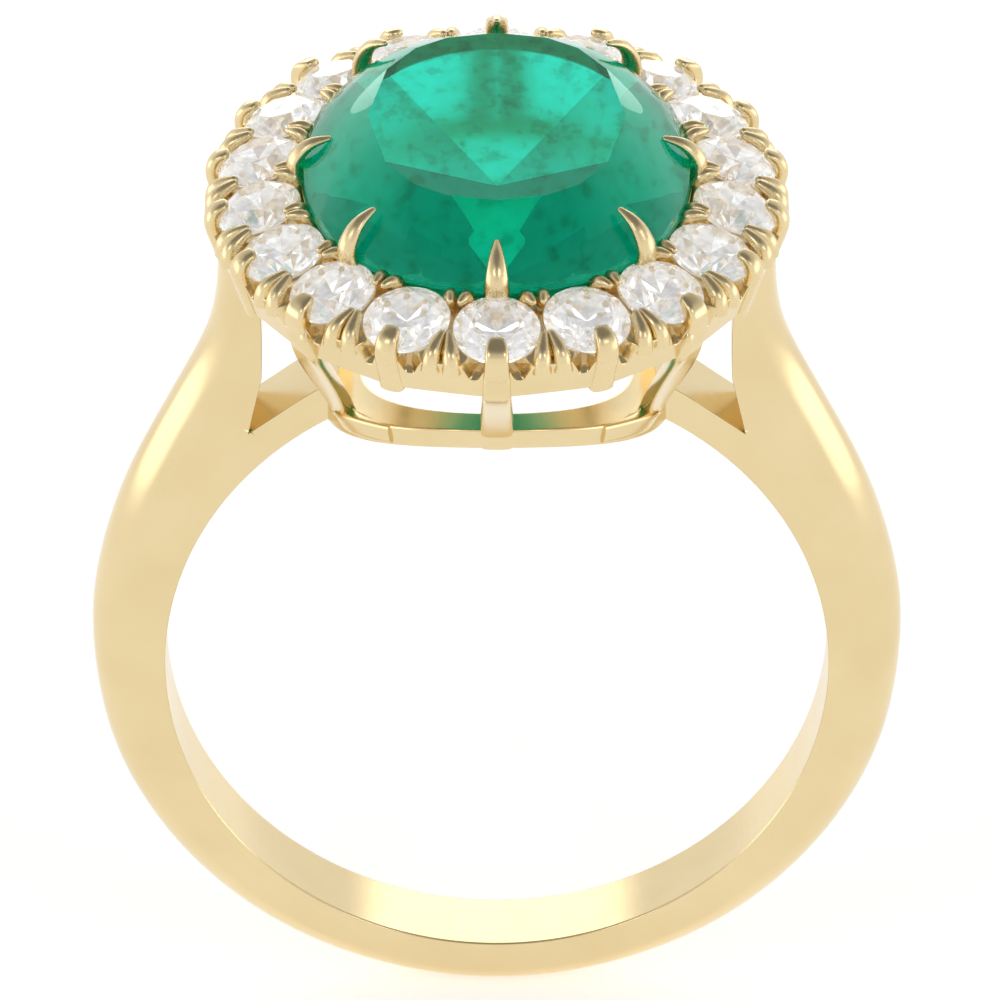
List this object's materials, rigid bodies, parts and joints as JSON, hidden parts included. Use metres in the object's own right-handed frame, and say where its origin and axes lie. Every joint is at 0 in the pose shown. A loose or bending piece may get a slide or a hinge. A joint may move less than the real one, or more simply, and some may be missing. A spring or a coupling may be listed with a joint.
{
  "type": "cocktail ring",
  "caption": "Gold cocktail ring: an oval-cushion green centre stone in pointed claws, a halo of round brilliants, an open gallery and open cathedral shoulders.",
  "frame": {"origin": "centre of the finger bore, midway across the band's width", "axes": "+Y along the finger, +X to the right across the band, +Z from the finger up through the centre stone"},
  "size_m": [0.0206, 0.0166, 0.0254],
  "materials": {
    "gold_band": "polished 18 ct yellow gold",
    "gold_head": "polished 18 ct yellow gold",
    "gold_claws": "polished 18 ct yellow gold",
    "emerald": "faceted and polished, saturated bluish green, slight inclusions",
    "diamond": "faceted and polished, colourless"
  },
  "bodies": {
    "root": {"shank": "gold_band", "base_rail": "gold_head", "halo_plate": "gold_head", "emerald_collar": "gold_head", "emerald": "emerald", "emerald_claw_right": "gold_claws", "emerald_claw_back_right": "gold_claws", "emerald_claw_back": "gold_claws", "emerald_claw_back_left": "gold_claws", "emerald_claw_left": "gold_claws", "emerald_claw_front_left": "gold_claws", "emerald_claw_front": "gold_claws", "emerald_claw_front_right": "gold_claws", "gallery_post_front": "gold_head", "halo_claw_02": "gold_claws", "gallery_post_front_left": "gold_head", "halo_claw_04": "gold_claws", "halo_claw_05": "gold_claws", "halo_claw_06": "gold_claws", "halo_claw_07": "gold_claws", "gallery_post_back_left": "gold_head", "halo_claw_09": "gold_claws", "gallery_post_back": "gold_head", "halo_claw_11": "gold_claws", "gallery_post_back_right": "gold_head", "halo_claw_13": "gold_claws", "halo_claw_14": "gold_claws", "halo_claw_15": "gold_claws", "halo_claw_16": "gold_claws", "gallery_post_front_right": "gold_head", "halo_claw_18": "gold_claws", "halo_diamond_01": "diamond", "halo_diamond_02": "diamond", "halo_diamond_03": "diamond", "halo_diamond_04": "diamond", "halo_diamond_05": "diamond", "halo_diamond_06": "diamond", "halo_diamond_07": "diamond", "halo_diamond_08": "diamond", "halo_diamond_09": "diamond", "halo_diamond_10": "diamond", "halo_diamond_11": "diamond", "halo_diamond_12": "diamond", "halo_diamond_13": "diamond", "halo_diamond_14": "diamond", "halo_diamond_15": "diamond", "halo_diamond_16": "diamond", "halo_diamond_17": "diamond", "halo_diamond_18": "diamond", "outer_bead_claws": "gold_claws", "inner_bead_claws": "gold_claws"}
  },
  "joints": []
}
